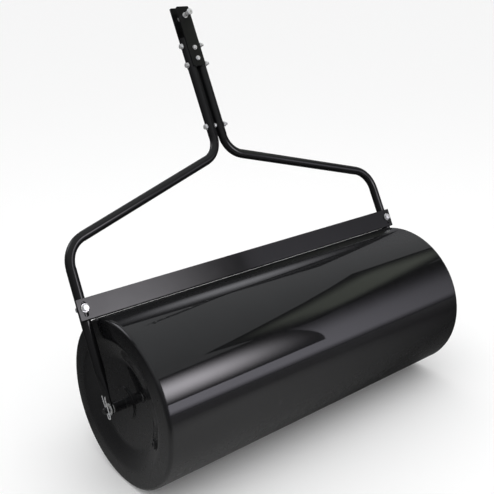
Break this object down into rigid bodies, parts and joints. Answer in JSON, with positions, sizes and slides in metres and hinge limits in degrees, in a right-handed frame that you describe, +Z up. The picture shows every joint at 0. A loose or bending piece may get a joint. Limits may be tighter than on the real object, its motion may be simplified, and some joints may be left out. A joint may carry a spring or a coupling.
{
  "type": "towed lawn roller",
  "caption": "Wide water-ballast lawn roller: a closed steel drum on a through axle, a bent-tube tow frame, an adjustable scraper bar and a pinned two-plate hitch.",
  "frame": {"origin": "the middle of the line where the drum rests on the ground, directly under the axle", "axes": "+X is the towing direction, +Y is left along the axle, +Z is up"},
  "size_m": [0.6854, 1.147, 1.1064],
  "materials": {
    "drum_paint": "high gloss black enamel",
    "frame_paint": "gloss black enamel",
    "bar_paint": "semi-gloss black enamel",
    "axle_steel": "black coated steel rod",
    "zinc_steel": "bright zinc plated",
    "spring_steel": "bright zinc plated spring wire",
    "bush_nylon": "moulded nylon, black",
    "seal_rubber": "moulded rubber"
  },
  "bodies": {
    "axle_set": {"axle": "axle_steel", "thrust_washers": "zinc_steel", "axle_washers": "zinc_steel"},
    "drum": {"drum_shell": "drum_paint", "end_cap_left": "drum_paint", "end_cap_right": "drum_paint", "axle_sleeve": "drum_paint", "hub_plate_left": "drum_paint", "hub_plate_right": "drum_paint", "bush_left": "bush_nylon", "bush_right": "bush_nylon", "filler_socket": "drum_paint"},
    "plug": {"fill_plug": "axle_steel", "plug_seal": "seal_rubber"},
    "tow_frame": {"frame_tube_left": "frame_paint", "frame_tube_right": "frame_paint", "hitch_plate_upper": "frame_paint", "hitch_plate_lower": "frame_paint", "hitch_bolts": "zinc_steel", "hitch_washers": "zinc_steel", "hitch_nuts": "zinc_steel", "clamp_bolts": "zinc_steel", "clamp_washers": "zinc_steel", "clamp_nuts": "zinc_steel", "tube_spacers": "zinc_steel", "scraper_bolts": "zinc_steel", "scraper_washers": "zinc_steel", "scraper_nuts": "zinc_steel"},
    "scraper": {"scraper_bar": "bar_paint"},
    "pin": {"hitch_pin": "zinc_steel"},
    "pin_clip": {"hitch_pin_clip": "spring_steel"},
    "clip_left": {"axle_clip_left": "spring_steel"},
    "clip_right": {"axle_clip_right": "spring_steel"}
  },
  "joints": [
    {"name": "drum_spin", "type": "hinge", "parent": "axle_set", "child": "drum", "pos_m": [0, 0, 0.2175], "axis": [0, 1, 0], "continuous": true},
    {"name": "frame_tilt", "type": "hinge", "parent": "axle_set", "child": "tow_frame", "pos_m": [0, 0, 0.2175], "axis": [0, 1, 0], "range_deg": [-122, 74]},
    {"name": "scraper_adjust", "type": "slide", "parent": "tow_frame", "child": "scraper", "axis": [0.454, 0, 0.891], "range_m": [0, 0.015]},
    {"name": "hitch_pin_turn", "type": "hinge", "parent": "tow_frame", "child": "pin", "pos_m": [0.43674, 0, 1.07465], "axis": [-0.891, 0, 0.454], "continuous": true},
    {"name": "hitch_clip_pull", "type": "slide", "parent": "pin", "child": "pin_clip", "axis": [0.454, 0, 0.891], "range_m": [0, 0.035]},
    {"name": "axle_clip_left_pull", "type": "slide", "parent": "axle_set", "child": "clip_left", "axis": [-0.454, 0, -0.891], "range_m": [0, 0.048]},
    {"name": "axle_clip_right_pull", "type": "slide", "parent": "axle_set", "child": "clip_right", "axis": [-0.454, 0, -0.891], "range_m": [0, 0.048]},
    {"name": "fill_plug_out", "type": "slide", "parent": "drum", "child": "plug", "axis": [0.3118, 0.945, 0.0989], "range_m": [0, 0.03]}
  ]
}
